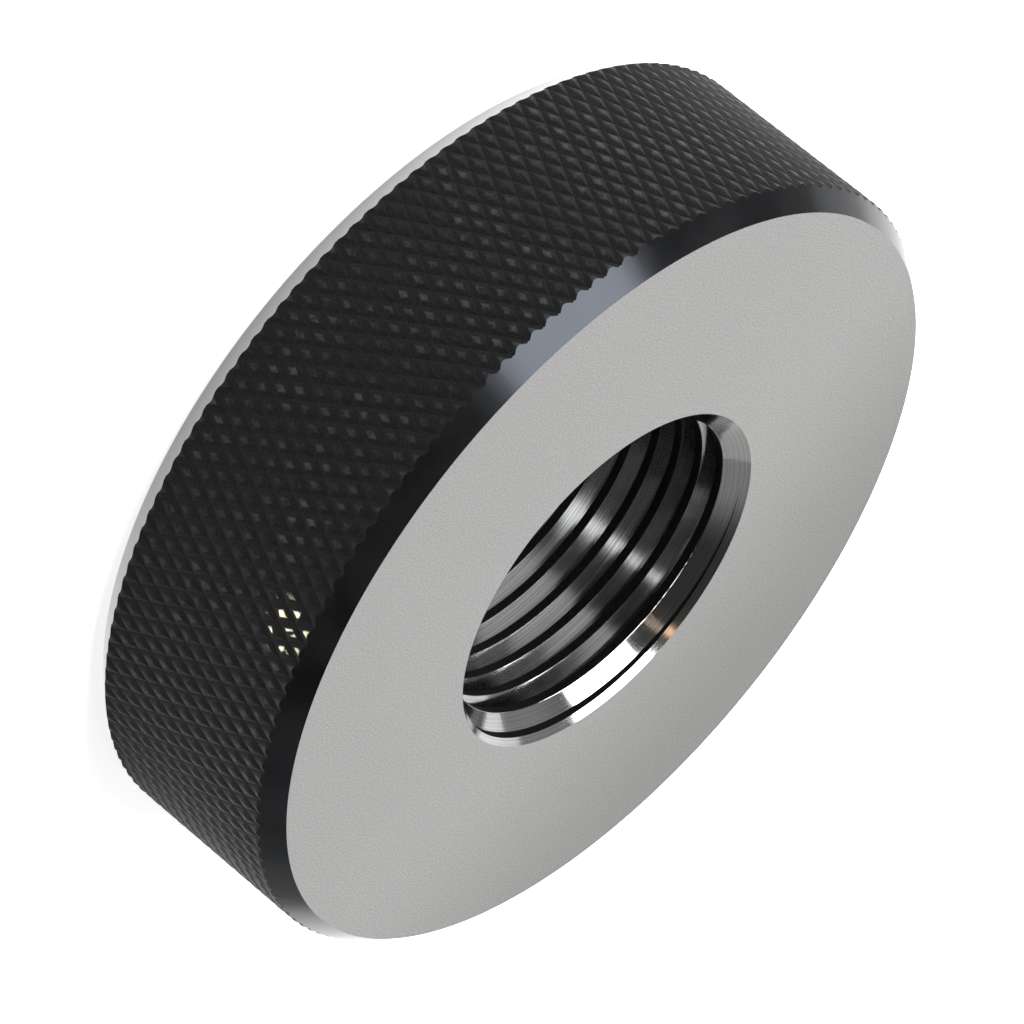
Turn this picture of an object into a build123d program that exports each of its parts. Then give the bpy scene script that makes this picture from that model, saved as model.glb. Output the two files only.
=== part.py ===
from build123d import *
import math
import os

os.makedirs("parts", exist_ok=True)

# A solid thread ring gauge for the right-hand fine thread M27 x 2, turned from one piece of tool steel.
# All sizes are in millimetres. The back face lies on Z = 0, and the ring's axis is +Z.

# Ring blank
outside_diameter = 63.0  # over the knurl's tips
ring_width = 18.0
rim_chamfer_depth = 1.3  # radial size of the bevel between a face and the rim
rim_chamfer_width = 1.6  # the same bevel along the axis

# Diamond knurl: two crossing families of grooves, which leave a four-sided pyramid in each mesh
knurl_grooves = 120  # in each family
knurl_angle = 30.0  # between a groove and the axis, before the rows are fitted to the rim
knurl_depth = 0.3
knurl_start_angle = 1.7  # where two grooves cross at the edge of a bevel
face_edge_step = 4  # columns of the knurl along each side of the polygon round a face

# Thread, by the ISO metric profile. Its groove runs to the profile's sharp corner, clear of a tested screw's crests.
thread_diameter = 27.0
thread_pitch = 2.0
thread_start_angle = 293.0  # where the middle of the groove passes the back face
flank_angle = 30.0
crest_clearance = 0.133  # from the basic profile's crests, within the limits of 0 and 0.187 for this size

# Countersink at each end of the thread, at 45 degrees
countersink_clearance = 0.7
countersink_diameter = thread_diameter + countersink_clearance

# The cutting solid reaches this far past the surfaces that it cuts
overcut = 0.2

# Grid of the knurl. Its rows fill the rim between the bevels, and an even number makes both edges alike.
knurl_width = ring_width - 2 * rim_chamfer_width
columns = 2 * knurl_grooves
column_width = math.pi * outside_diameter / columns
row_pairs = max(1, round(knurl_width * math.tan(math.radians(knurl_angle)) / column_width / 2))
rows = 2 * row_pairs
bevel_slope = rim_chamfer_width / rim_chamfer_depth


def rim_point(radius, column, height):
    turn = math.radians(knurl_start_angle + 360 * column / columns)
    return Vector(radius * math.cos(turn), radius * math.sin(turn), height)


def knurl_point(column, row):
    # Tips and groove crossings take turns along each row. A crossing in an end row lies deeper in the bevel.
    depth = 0 if (column + row) % 2 else knurl_depth
    height = rim_chamfer_width + knurl_width * row / rows
    if row == 0:
        height -= depth * bevel_slope
    if row == rows:
        height += depth * bevel_slope
    return rim_point(outside_diameter / 2 - depth, column, height)


def face_edge_point(column, row):
    height = ring_width * row / rows
    return rim_point(outside_diameter / 2 - rim_chamfer_depth, column, height)


def facet(*corners):
    return Face(Wire.make_polygon(corners, close=True))


def knurl_facets(column, row):
    # One square of the grid, split along the groove that runs through it
    low, low_next = knurl_point(column, row), knurl_point(column + 1, row)
    high, high_next = knurl_point(column, row + 1), knurl_point(column + 1, row + 1)
    if (column + row) % 2:
        return [facet(low, low_next, high), facet(low_next, high_next, high)]
    return [facet(low, low_next, high_next), facet(low, high_next, high)]


def bevel_facets(column, row):
    # One side of the polygon round the face, fanned out to the knurl's columns beyond it
    middle, end = column + face_edge_step // 2, column + face_edge_step
    inner, inner_next = face_edge_point(column, row), face_edge_point(end, row)
    fan = [facet(inner, inner_next, knurl_point(middle, row))]
    for outer in range(column, end):
        corner = inner if outer < middle else inner_next
        fan.append(facet(corner, knurl_point(outer, row), knurl_point(outer + 1, row)))
    return fan


# The knurled blank, still without its bore
knurled_faces = [face for row in range(rows) for column in range(columns) for face in knurl_facets(column, row)]
face_columns = range(0, columns, face_edge_step)
for end_row in (0, rows):
    knurled_faces.append(facet(*[face_edge_point(column, end_row) for column in face_columns]))
    for column in face_columns:
        knurled_faces.extend(bevel_facets(column, end_row))

# One turn of the thread groove: a V swept along one pitch of the helix
flank_slope = math.tan(math.radians(flank_angle))
corner_height = thread_pitch / 2 / flank_slope
pitch_radius = thread_diameter / 2 - corner_height * 3 / 8
minor_radius = pitch_radius - corner_height / 4 + crest_clearance
groove_depth = pitch_radius + corner_height / 2 - minor_radius
half_mouth = (groove_depth + overcut) * flank_slope

with BuildPart() as groove_turn:
    with BuildLine() as helix:
        Helix(thread_pitch, thread_pitch, minor_radius)
    with BuildSketch(Plane(helix.line @ 0, x_dir=(1, 0, 0), z_dir=helix.line % 0)):
        with BuildLine():
            Polyline((-overcut, -half_mouth), (groove_depth, 0), (-overcut, half_mouth), close=True)
        make_face()
    sweep(path=helix.line, is_frenet=True)

# The bore's negative: the core at the crests, a 45 degree cone at each end, and the groove's turns one by one
mouth_radius = countersink_diameter / 2 + overcut
cone_height = mouth_radius - minor_radius
turns = math.ceil(ring_width / thread_pitch) + 2

with BuildPart() as threaded_bore:
    with BuildSketch(Plane.XZ):
        with BuildLine():
            Polyline(
                (0, -overcut),
                (mouth_radius, -overcut),
                (minor_radius, cone_height - overcut),
                (minor_radius, ring_width + overcut - cone_height),
                (mouth_radius, ring_width + overcut),
                (0, ring_width + overcut),
                close=True,
            )
        make_face()
    revolve(axis=Axis.Z)
    turn_heights = [(turn - 1) * thread_pitch for turn in range(turns)]
    with Locations([Location((0, 0, height), (0, 0, thread_start_angle)) for height in turn_heights]):
        add(groove_turn.part)

with BuildPart() as gauge_ring:
    add(Solid(Shell(knurled_faces)))
    add(threaded_bore.part, mode=Mode.SUBTRACT)

gauge_ring.part.label = "gauge_ring"
export_step(gauge_ring.part, "parts/gauge_ring.step")
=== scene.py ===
import math

import bmesh
import bpy
from mathutils import Matrix, Vector


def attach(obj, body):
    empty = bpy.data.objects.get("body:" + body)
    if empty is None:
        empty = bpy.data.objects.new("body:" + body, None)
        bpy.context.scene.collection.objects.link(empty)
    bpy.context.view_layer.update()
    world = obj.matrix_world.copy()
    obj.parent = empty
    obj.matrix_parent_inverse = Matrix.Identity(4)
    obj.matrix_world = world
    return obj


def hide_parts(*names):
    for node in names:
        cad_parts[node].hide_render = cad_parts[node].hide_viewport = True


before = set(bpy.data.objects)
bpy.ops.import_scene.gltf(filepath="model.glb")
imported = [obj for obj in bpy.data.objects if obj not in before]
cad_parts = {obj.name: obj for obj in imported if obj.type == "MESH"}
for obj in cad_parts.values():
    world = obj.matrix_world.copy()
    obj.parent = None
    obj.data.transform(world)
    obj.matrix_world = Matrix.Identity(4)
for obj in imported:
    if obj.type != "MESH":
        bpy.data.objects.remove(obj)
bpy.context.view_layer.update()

# Camera: a long lens, close to the ring and low over its front left side, rolled so that the ring's axis
# points down to the right, as in the photograph.
camera_right = Vector((-0.63147, 0.33536, 0.69912))
camera_up = Vector((-0.77540, -0.27311, -0.56936))
camera_back = Vector((0.0, -0.90163, 0.43250))
shift_right = -0.006573
shift_up = 0.004749
camera_distance = 0.5530
face_centre = Vector((0, 0, 0.018))

bpy.ops.object.select_all(action="DESELECT")
bpy.ops.object.camera_add()
camera = bpy.context.object
camera.name = "camera"
camera.data.lens = 285
camera.data.sensor_width = 36
camera.data.clip_start = 0.01
place = face_centre + shift_right * camera_right + shift_up * camera_up + camera_distance * camera_back
turn = Matrix((camera_right, camera_up, camera_back)).transposed().to_4x4()
camera.matrix_world = Matrix.Translation(place) @ turn
bpy.context.scene.camera = camera
bpy.context.scene.view_settings.view_transform = "Standard"


# The gauge: one ring, turned from a bar of tool steel. Its rim is diamond-knurled between two wide bevels and
# blackened, then both faces are ground and the thread M27 x 2 is cut and lapped bright between two countersinks.
millimetre = 0.001
outside_radius = 31.5 * millimetre
knurl_radius = 31.495 * millimetre
ring_width = 18 * millimetre
bevel_depth = 1.3 * millimetre
bevel_width = 1.6 * millimetre

knurl_grooves = 140
knurl_rows = 12
knurl_start = math.radians(0.45)
groove_depth = 0.17 * millimetre
groove_half_width = 0.42 * millimetre
tip_edge_depth = 0.02 * millimetre
tip_edge_width = 0.09 * millimetre

minor_radius = 12.55 * millimetre
root_radius = 13.7165 * millimetre
thread_pitch = 2 * millimetre
flank_angle = math.radians(30)
thread_start = math.radians(293)
thread_steps = 180
countersink_radius = 13.85 * millimetre

dressing_radius = 13.42 * millimetre
dressing_rise = 1.06 * millimetre
dressing_turns = 1.25
dressing_start = math.radians(-75)

# parts of a cutting shape that lie closer than this are one
weld = 0.002 * millimetre


class Signal:
    """A socket in a material's nodes, so that sums on it are written as sums."""

    def __init__(self, tree, socket=None):
        self.tree, self.socket = tree, socket

    def node(self, kind, inputs=None, output=0, **settings):
        made = self.tree.nodes.new("ShaderNode" + kind)
        for name, setting in settings.items():
            setattr(made, name, setting)
        for name, value in (inputs or {}).items():
            if isinstance(value, Signal):
                self.tree.links.new(value.socket, made.inputs[name])
            else:
                made.inputs[name].default_value = value
        return Signal(self.tree, made.outputs[output])

    def sum(self, operation, first, second):
        return self.node("Math", {0: first, 1: second}, operation=operation)

    def __add__(self, other):
        return self.sum("ADD", self, other)

    __radd__ = __add__

    def __sub__(self, other):
        return self.sum("SUBTRACT", self, other)

    def __rsub__(self, other):
        return self.sum("SUBTRACT", other, self)

    def __mul__(self, other):
        return self.sum("MULTIPLY", self, other)

    __rmul__ = __mul__

    def __pow__(self, other):
        return self.sum("POWER", self, other)

    def between(self, low, high):
        """0 below low, 1 above high, smooth between them."""
        limits = {"Value": self, "From Min": low, "From Max": high}
        return self.node("MapRange", limits, interpolation_type="SMOOTHSTEP")

    def blend(self, dark, light):
        """The colour dark where this is 0 and light where it is 1."""
        return self.node("Mix", {0: self, 6: dark, 7: light}, 2, data_type="RGBA")

    def parts(self):
        """The x, y and z of a place or a direction."""
        return [self.node("SeparateXYZ", {0: self}, axis) for axis in range(3)]

    def noise(self, scale, detail):
        """Noise over a place."""
        return self.node("TexNoise", {"Vector": self, "Scale": scale, "Detail": detail})

    def lines(self, scale, detail):
        """Noise along one number, which draws lines where that number stays the same."""
        return self.node("TexNoise", {"W": self, "Scale": scale, "Detail": detail}, noise_dimensions="1D")

    def bump(self, strength, distance):
        """The normal of a surface that is raised where this is high."""
        return self.node("Bump", {"Strength": strength, "Distance": distance, "Height": self})


def new_material(name, **constants):
    """A material, its shader with the constant values set, and a start for its nodes."""
    material = bpy.data.materials.new(name)
    material.use_nodes = True
    shader = material.node_tree.nodes["Principled BSDF"]
    for socket, value in constants.items():
        shader.inputs[socket.replace("_", " ")].default_value = value
    return material, shader, Signal(material.node_tree)


def wire(shader, **signals):
    """Link signals to the shader's sockets."""
    for name, signal in signals.items():
        signal.tree.links.new(signal.socket, shader.inputs[name.replace("_", " ")])


def on_ring(start):
    """The place on the ring, its distance from the axis and its height above the back face."""
    place = start.node("TexCoord", output="Object")
    x, y, height = place.parts()
    return place, (x * x + y * y) ** 0.5, height


# black oxide on the knurl: sooty in the grooves, rubbed on the tips, which are lighter as wear and as a painted
# highlight, and bare on a few of them at one spot
knock_place = (0.0156, -0.0273, 0.0147)
oxide, oxide_shader, start = new_material("black_oxide", Specular_IOR_Level=0.08, Coat_Roughness=0.28)
place, radius, height = on_ring(start)
grain = place.noise(5000, 3)
patches = place.noise(160, 4)
blotches = place.noise(1400, 2)
tips = radius.between(knurl_radius - 0.07 * millimetre, knurl_radius - 0.01 * millimetre)
rubbed_and_painted_highlight = tips * patches.between(0.30, 0.65) * blotches.between(0.30, 0.65)
from_knock = place.node("VectorMath", {0: place, 1: knock_place}, "Value", operation="DISTANCE")
bare = tips * (1 - from_knock.between(0.0013, 0.0024)) * blotches.between(0.48, 0.56)
oxide_colour = grain.between(0.3, 0.7).blend((0.002, 0.0022, 0.0026, 1), (0.007, 0.0074, 0.008, 1))
# the rubbed tips' lighter colour is wear and also a painted highlight for the glints on the tips
oxide_colour = rubbed_and_painted_highlight.blend(oxide_colour, (0.032, 0.034, 0.036, 1))
oxide_colour = bare.blend(oxide_colour, (0.95, 0.86, 0.62, 1))
wire(oxide_shader, Base_Color=oxide_colour, Roughness=0.34 + patches * 0.16, Normal=grain.bump(0.5, 0.00002))
wire(oxide_shader, Metallic=bare * 0.8, Coat_Weight=rubbed_and_painted_highlight * 0.16)

# the same oxide on the turned bevels, which are smooth and glossy, and still oily at the back one's edge
bevel_oxide, bevel_shader, start = new_material(
    "bevel_oxide", Specular_IOR_Level=0.44, Specular_Tint=(0.78, 0.86, 1, 1), Coat_IOR=2.0, Coat_Roughness=0.15
)
place, radius, height = on_ring(start)
turning = (radius - height).lines(14000, 2)
patches = place.noise(220, 3)
bevel_colour = patches.between(0.3, 0.7).blend((0.004, 0.004, 0.004, 1), (0.009, 0.009, 0.009, 1))
oily = 1 - height.between(bevel_width, ring_width - bevel_width)
wire(bevel_shader, Base_Color=bevel_colour, Roughness=0.14 + patches * 0.06)
wire(bevel_shader, Normal=turning.bump(0.08, 0.000004), Coat_Weight=oily)

# ground faces, with painted shade that darkens their colour on the side away from the camera
ground, ground_shader, start = new_material("ground_steel", Metallic=1)
place = start.node("TexCoord", output="Object")
grain = place.noise(9500, 2)
cloud = place.noise(90, 4)
painted_shade_far_side = place.parts()[1].between(0.002, 0.030)
ground_colour = grain.between(0.3, 0.7).blend((0.374, 0.373, 0.371, 1), (0.654, 0.652, 0.649, 1))
# painted shade: the colour is blended darker towards the back (+y)
ground_colour = (painted_shade_far_side * 0.40).blend(ground_colour, (0.12, 0.115, 0.105, 1))
wire(ground_shader, Base_Color=ground_colour, Roughness=0.30 + cloud * 0.08, Normal=grain.bump(0.35, 0.000004))

# thread and countersinks, with the marks of the lap running round them
lapped, lapped_shader, start = new_material("lapped_steel", Metallic=1)
place, radius, height = on_ring(start)
laps = (radius + height * 0.7).lines(9000, 3)
grain = place.noise(900, 3)
lapped_colour = laps.between(0.3, 0.7).blend((0.56, 0.57, 0.56, 1), (0.76, 0.77, 0.76, 1))
wire(lapped_shader, Base_Color=lapped_colour, Roughness=0.07 + grain * 0.08, Normal=laps.bump(0.3, 0.000004))


def choose(piece):
    """Make the piece the one selected object, and the active one."""
    bpy.ops.object.select_all(action="DESELECT")
    piece.select_set(True)
    bpy.context.view_layer.objects.active = piece


def settle(piece):
    """Put the piece's place, turn and size into its mesh."""
    choose(piece)
    bpy.ops.object.transform_apply(location=True, rotation=True, scale=True)


def swing(piece, turn, rise):
    """Turn a piece's mesh about the ring's axis, and raise it."""
    for vert in piece.data.vertices:
        vert.co = Matrix.Rotation(turn, 3, "Z") @ vert.co
        vert.co.z += rise


def pick(piece, kind, wanted):
    """Select the vertices, edges or faces of a piece in edit mode for which wanted is true."""
    bpy.ops.mesh.select_mode(type={"verts": "VERT", "edges": "EDGE", "faces": "FACE"}[kind])
    bpy.ops.mesh.select_all(action="DESELECT")
    shape = bmesh.from_edit_mesh(piece.data)
    for element in getattr(shape, kind):
        if wanted(element):
            element.select_set(True)
    shape.select_flush_mode()
    bmesh.update_edit_mesh(piece.data)


def repeat(piece, count, turn, rise=0.0):
    """Copy a piece round the ring's axis, with each copy turned and raised from the last."""
    bpy.ops.object.empty_add(location=(0, 0, rise), rotation=(0, 0, turn))
    step = bpy.context.object
    choose(piece)
    copies = piece.modifiers.new("copies", "ARRAY")
    copies.use_relative_offset = False
    copies.use_object_offset = True
    copies.offset_object = step
    copies.count = count
    bpy.ops.object.modifier_apply(modifier=copies.name)
    bpy.data.objects.remove(step)


def wind(profile, turns, times=1):
    """Screw a profile along the thread's helix by so many turns, so many times over."""
    choose(profile)
    screw = profile.modifiers.new("screw", "SCREW")
    screw.axis = "Z"
    screw.steps = screw.render_steps = round(thread_steps * turns)
    screw.angle = 2 * math.pi * turns
    screw.screw_offset = thread_pitch * turns
    screw.iterations = times
    bpy.ops.object.modifier_apply(modifier=screw.name)


def machine(piece, cutter, operation):
    """Cut the piece with a closed shape, which is then thrown away."""
    choose(piece)
    cut = piece.modifiers.new("cut", "BOOLEAN")
    cut.operation = operation
    cut.object = cutter
    cut.solver = "MANIFOLD"
    cut.material_mode = "TRANSFER"
    bpy.ops.object.modifier_apply(modifier=cut.name)
    bpy.data.objects.remove(cutter)


# blank with its bevels, larger than the knurl by an allowance
allowance = 0.3 * millimetre
blank_radius = knurl_radius + allowance
blank_edge = bevel_width + allowance * (bevel_width / bevel_depth)
shrink = (outside_radius - bevel_depth) / blank_radius
bpy.ops.object.select_all(action="DESELECT")
bpy.ops.mesh.primitive_cylinder_add(
    vertices=420, radius=blank_radius, depth=ring_width - 2 * blank_edge, location=(0, 0, ring_width / 2)
)
ring = bpy.context.object
ring.name = "knurled_ring"
ring.data.materials.append(oxide)
settle(ring)
bpy.ops.object.mode_set(mode="EDIT")
for way in (-1, 1):
    pick(ring, "faces", lambda face: face.normal.z * way > 0.9)
    bpy.ops.mesh.extrude_region_move(TRANSFORM_OT_translate={"value": (0, 0, way * blank_edge)})
    bpy.ops.transform.resize(value=(shrink, shrink, 1), center_override=(0, 0, 0))
bpy.ops.object.mode_set(mode="OBJECT")

# knurl: one diamond with its flat tip, copied round the rim, and then up it from a row below the bevel's edge to a
# row above the other one's
knurl_turn = 2 * math.pi / knurl_grooves
row_height = (ring_width - 2 * bevel_width) / knurl_rows
valley_radius = knurl_radius - groove_depth - tip_edge_depth
side = valley_radius * math.sin(knurl_turn / 2)
overshoot = 3 * millimetre
bpy.ops.object.select_all(action="DESELECT")
bpy.ops.mesh.primitive_circle_add(
    vertices=4, radius=1, fill_type="NGON", location=(valley_radius, 0, 0), rotation=(math.pi / 2, 0, math.pi / 2)
)
knurl = bpy.context.object
knurl.name = "knurl"
knurl.data.materials.append(oxide)
knurl.scale = (side, row_height, 1)
settle(knurl)
bpy.ops.object.mode_set(mode="EDIT")
pick(knurl, "verts", lambda vert: abs(vert.co.y) > side / 2)
bpy.ops.transform.translate(value=(valley_radius * (math.cos(knurl_turn / 2) - 1), 0, 0))
bpy.ops.mesh.select_all(action="SELECT")
bpy.ops.mesh.inset(thickness=groove_half_width, depth=groove_depth)
bpy.ops.mesh.inset(thickness=tip_edge_width, depth=tip_edge_depth)
bpy.ops.object.mode_set(mode="OBJECT")
swing(knurl, knurl_start - knurl_turn / 2, bevel_width - row_height)
repeat(knurl, knurl_grooves, knurl_turn)
repeat(knurl, knurl_rows + 3, knurl_turn / 2, row_height)
bpy.ops.object.mode_set(mode="EDIT")
bpy.ops.mesh.select_all(action="SELECT")
bpy.ops.mesh.remove_doubles(threshold=weld)
for way, height in ((-1, -overshoot), (1, ring_width + overshoot)):
    pick(knurl, "edges", lambda edge: edge.is_boundary and (edge.verts[0].co.z - ring_width / 2) * way > 0)
    bpy.ops.mesh.extrude_region_move(TRANSFORM_OT_translate={"value": (0, 0, way * overshoot)})
    bpy.ops.transform.resize(value=(1, 1, 0), center_override=(0, 0, height))
    bpy.ops.mesh.edge_face_add()
bpy.ops.mesh.select_all(action="SELECT")
bpy.ops.mesh.normals_make_consistent(inside=False)
bpy.ops.object.mode_set(mode="OBJECT")
machine(ring, knurl, "INTERSECT")

# bright faces and smooth bevels, told by how far their normals lean towards the axis
bevel_lean = bevel_depth / math.hypot(bevel_depth, bevel_width)
bpy.ops.object.mode_set(mode="EDIT")
for slot, (material, lean, slack) in enumerate(((ground, 1, 0.001), (bevel_oxide, bevel_lean, 0.03)), 1):
    ring.data.materials.append(material)
    pick(ring, "faces", lambda face: abs(abs(face.normal.z) - lean) < slack)
    ring.active_material_index = slot
    bpy.ops.object.material_slot_assign()
bpy.ops.object.mode_set(mode="OBJECT")

# tap: a triangle without its base, and the flat to the next turn, wound from below the ring to above it
turns_past = 3
profile_radius = (root_radius - minor_radius) * 2 / 3
half_mouth = (root_radius - minor_radius) * math.tan(flank_angle)
base_edge = minor_radius + 0.01 * millimetre
bpy.ops.object.select_all(action="DESELECT")
bpy.ops.mesh.primitive_circle_add(
    vertices=3,
    radius=profile_radius,
    location=(root_radius - profile_radius, 0, 0),
    rotation=(-math.pi / 2, -math.pi / 2, 0),
)
tap = bpy.context.object
tap.name = "tap"
settle(tap)
bpy.ops.object.mode_set(mode="EDIT")
pick(tap, "edges", lambda edge: all(vert.co.x < base_edge for vert in edge.verts))
bpy.ops.mesh.delete(type="EDGE")
pick(tap, "verts", lambda vert: vert.co.z > half_mouth / 2)
bpy.ops.mesh.extrude_vertices_move(TRANSFORM_OT_translate={"value": (0, 0, thread_pitch - 2 * half_mouth)})
bpy.ops.object.mode_set(mode="OBJECT")
wind(tap, turns=1, times=math.ceil(ring_width / thread_pitch) + 2 * turns_past)
swing(tap, thread_start, -turns_past * thread_pitch)
bpy.ops.object.mode_set(mode="EDIT")
bpy.ops.mesh.select_all(action="SELECT")
bpy.ops.mesh.remove_doubles(threshold=weld)
for way, height in ((-1, -thread_pitch), (1, ring_width + thread_pitch)):
    bpy.ops.mesh.select_all(action="SELECT")
    bpy.ops.mesh.bisect(
        plane_co=(0, 0, height),
        plane_no=(0, 0, way),
        use_fill=True,
        clear_outer=True,
        clear_inner=False,
        threshold=1e-7,
    )
bpy.ops.mesh.select_all(action="SELECT")
bpy.ops.mesh.normals_make_consistent(inside=False)
bpy.ops.object.mode_set(mode="OBJECT")
tap.data.materials.append(lapped)

# The feather edge of the front turn is dressed off: the tap leaves it uncut, and a blunt cut with a straight wall
# follows the helix there instead.
cut_height = 4 * millimetre
reach = 0.5 * millimetre
lowest_start = ring_width - 1.7 * thread_pitch
crest_height = (dressing_start - thread_start) / (2 * math.pi) * thread_pitch - half_mouth
while crest_height < lowest_start:
    crest_height += thread_pitch
cuts = []
for name, inner, outer, slope in (
    ("trim", minor_radius + 0.02 * millimetre, root_radius + reach, 0),
    ("dresser", minor_radius - reach, dressing_radius, dressing_rise / (dressing_radius - minor_radius)),
):
    bpy.ops.object.select_all(action="DESELECT")
    bpy.ops.mesh.primitive_plane_add(size=1, rotation=(math.pi / 2, 0, 0))
    cut = bpy.context.object
    cut.name = name
    cut.scale = (outer - inner, cut_height, 1)
    cut.location = ((inner + outer) / 2, 0, cut_height / 2 - slope * (minor_radius - inner))
    settle(cut)
    bpy.ops.object.mode_set(mode="EDIT")
    pick(cut, "verts", lambda vert: vert.co.x > (inner + outer) / 2 and vert.co.z < cut_height / 2)
    bpy.ops.transform.translate(value=(0, 0, slope * (outer - inner)))
    bpy.ops.object.mode_set(mode="OBJECT")
    wind(cut, dressing_turns)
    cut.rotation_euler = (0, 0, dressing_start)
    cut.location = (0, 0, crest_height)
    settle(cut)
    bpy.ops.object.mode_set(mode="EDIT")
    bpy.ops.mesh.select_all(action="SELECT")
    bpy.ops.mesh.remove_doubles(threshold=weld)
    bpy.ops.mesh.fill_holes(sides=0)
    bpy.ops.mesh.normals_make_consistent(inside=False)
    bpy.ops.object.mode_set(mode="OBJECT")
    cut.data.materials.append(lapped)
    cuts.append(cut)
trim, dresser = cuts
machine(tap, trim, "DIFFERENCE")
machine(ring, tap, "DIFFERENCE")
machine(ring, dresser, "DIFFERENCE")

# countersinks
cone_inside, cone_outside = 1.9 * millimetre, 0.5 * millimetre
for way, face_height in ((-1, 0), (1, ring_width)):
    bpy.ops.object.select_all(action="DESELECT")
    bpy.ops.mesh.primitive_cone_add(
        vertices=240,
        radius1=countersink_radius - cone_inside,
        radius2=countersink_radius + cone_outside,
        depth=cone_inside + cone_outside,
        location=(0, 0, face_height + way * (cone_outside - cone_inside) / 2),
        rotation=(0 if way > 0 else math.pi, 0, 0),
    )
    countersink = bpy.context.object
    settle(countersink)
    countersink.data.materials.append(lapped)
    machine(ring, countersink, "DIFFERENCE")

# The crests and the dressed turn's wall are given the black oxide as painted shade for the dark they show, with the
# lap taken not to reach them.
choose(ring)
bpy.ops.object.mode_set(mode="EDIT")
pick(ring, "faces", lambda face: abs(face.normal.z) < 0.3 and face.calc_center_median().xy.length < root_radius)
ring.active_material_index = 0
bpy.ops.object.material_slot_assign()
bpy.ops.object.mode_set(mode="OBJECT")
bpy.ops.object.shade_smooth_by_angle(angle=math.radians(28))
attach(ring, "root")
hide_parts("gauge_ring")


# The floor: a sheet of white card, which runs up behind the ring as a backdrop. It is white to the camera. The steel
# mirrors a painted glow from it, dimmer away from the ring and most of all to the east; under the bore the card is
# painted dark as painted shade, and there it glows in a painted patch of light and a painted bright line.
floor_size = (4, 3)
bend_steps = 10
bend_radius = 0.3
backdrop_height = 1.2

card, card_shader, start = new_material("white_card", Roughness=0.9, Specular_IOR_Level=0.1, Emission_Strength=1)
seen, mirrored, through = (
    start.node("LightPath", output=f"Is {kind} Ray") for kind in ("Camera", "Glossy", "Transmission")
)
place, from_axis, height = on_ring(start)
east, north, height = place.parts()
outside_painted_shade = from_axis.between(0.020, 0.030)
# painted light: inside the bore the card glows in a patch and along a narrow line, seen in the steel's reflections
painted_light_patch = (1 - outside_painted_shade) * (north * 0.42 - east * 0.91).between(0.0015, 0.003)
from_line = north * 0.355 + east * 0.935 - 0.00235
painted_light_line = (1 - outside_painted_shade) * (1 - (from_line * from_line).between(0.0000001, 0.0000008))
# painted reflection: the glow the steel mirrors is dimmer away from the ring and to the east
glow = outside_painted_shade * (0.8 - from_axis.between(0.035, 0.10) * 0.4) * (1 - east.between(0.2, 1.0) * 0.9)
glow = glow + painted_light_patch * 0.5 + painted_light_line * 1.6
# painted shade: the card is dark under the bore and white beyond it
card_colour = outside_painted_shade.blend((0.05, 0.05, 0.05, 1), (0.8, 0.8, 0.8, 1))
wire(card_shader, Base_Color=card_colour, Emission_Color=seen * 0.8 + (mirrored + through) * glow)

bpy.ops.object.select_all(action="DESELECT")
bpy.ops.mesh.primitive_plane_add(size=1, location=(0, -0.2, 0))
floor = bpy.context.object
floor.name = "floor"
floor.scale = (*floor_size, 1)
settle(floor)
bpy.ops.object.mode_set(mode="EDIT")
pick(floor, "edges", lambda edge: all(vert.co.y > 1 for vert in edge.verts))
for bend in range(bend_steps):
    low, high = (math.pi / 2 * (bend + k) / bend_steps for k in (0, 1))
    forward = bend_radius * (math.sin(high) - math.sin(low))
    upward = bend_radius * (math.cos(low) - math.cos(high))
    bpy.ops.mesh.extrude_region_move(TRANSFORM_OT_translate={"value": (0, forward, upward)})
bpy.ops.mesh.extrude_region_move(TRANSFORM_OT_translate={"value": (0, 0, backdrop_height)})
bpy.ops.mesh.select_all(action="SELECT")
bpy.ops.mesh.normals_make_consistent(inside=False)
bpy.ops.object.mode_set(mode="OBJECT")
bpy.ops.object.shade_smooth_by_angle(angle=math.radians(30))
floor.data.materials.append(card)


# Light: a long soft box overhead on the left, a small lamp on the ceiling, and a room that is dark above and pale
# towards the horizon, with one warm strip across its ceiling. The steel mirrors all of them.
def hang_lamp(name, place, turn, length, width, level):
    """A flat lamp that shines down, with the given level where it is mirrored."""
    bpy.ops.object.select_all(action="DESELECT")
    bpy.ops.object.light_add(type="AREA", location=place, rotation=(0, 0, math.radians(turn)))
    lamp = bpy.context.object
    lamp.name = name
    lamp.data.shape = "RECTANGLE"
    lamp.data.size = length
    lamp.data.size_y = width
    lamp.data.energy = level * math.pi * length * width


hang_lamp("soft_box", (-0.70, -0.37, 1.0), turn=62, length=1.6, width=0.90, level=8)
hang_lamp("ceiling_lamp", (0.17, 0.115, 1.0), turn=15, length=0.23, width=0.1, level=6)

world = bpy.data.worlds.new("room")
bpy.context.scene.world = world
world.use_nodes = True
start = Signal(world.node_tree)
east, north, up = start.node("TexCoord", output="Generated").parts()
below_ceiling = 1 - up.between(0.55, 0.85)
north_side = north.between(-0.3, 0.3)
horizon = 1 - up.between(0.25, 0.5)
level = 0.035 + below_ceiling * north_side * 0.20 + horizon * (1 - north_side) * 0.6
warm_strip = (1 - (east * east).between(0.0004, 0.0012)) * up.between(0.80, 0.84)
room_colour = warm_strip.blend((1, 1, 1, 1), (1, 0.62, 0.36, 1))
wire(world.node_tree.nodes["Background"], Color=room_colour, Strength=level + warm_strip * 1.4)
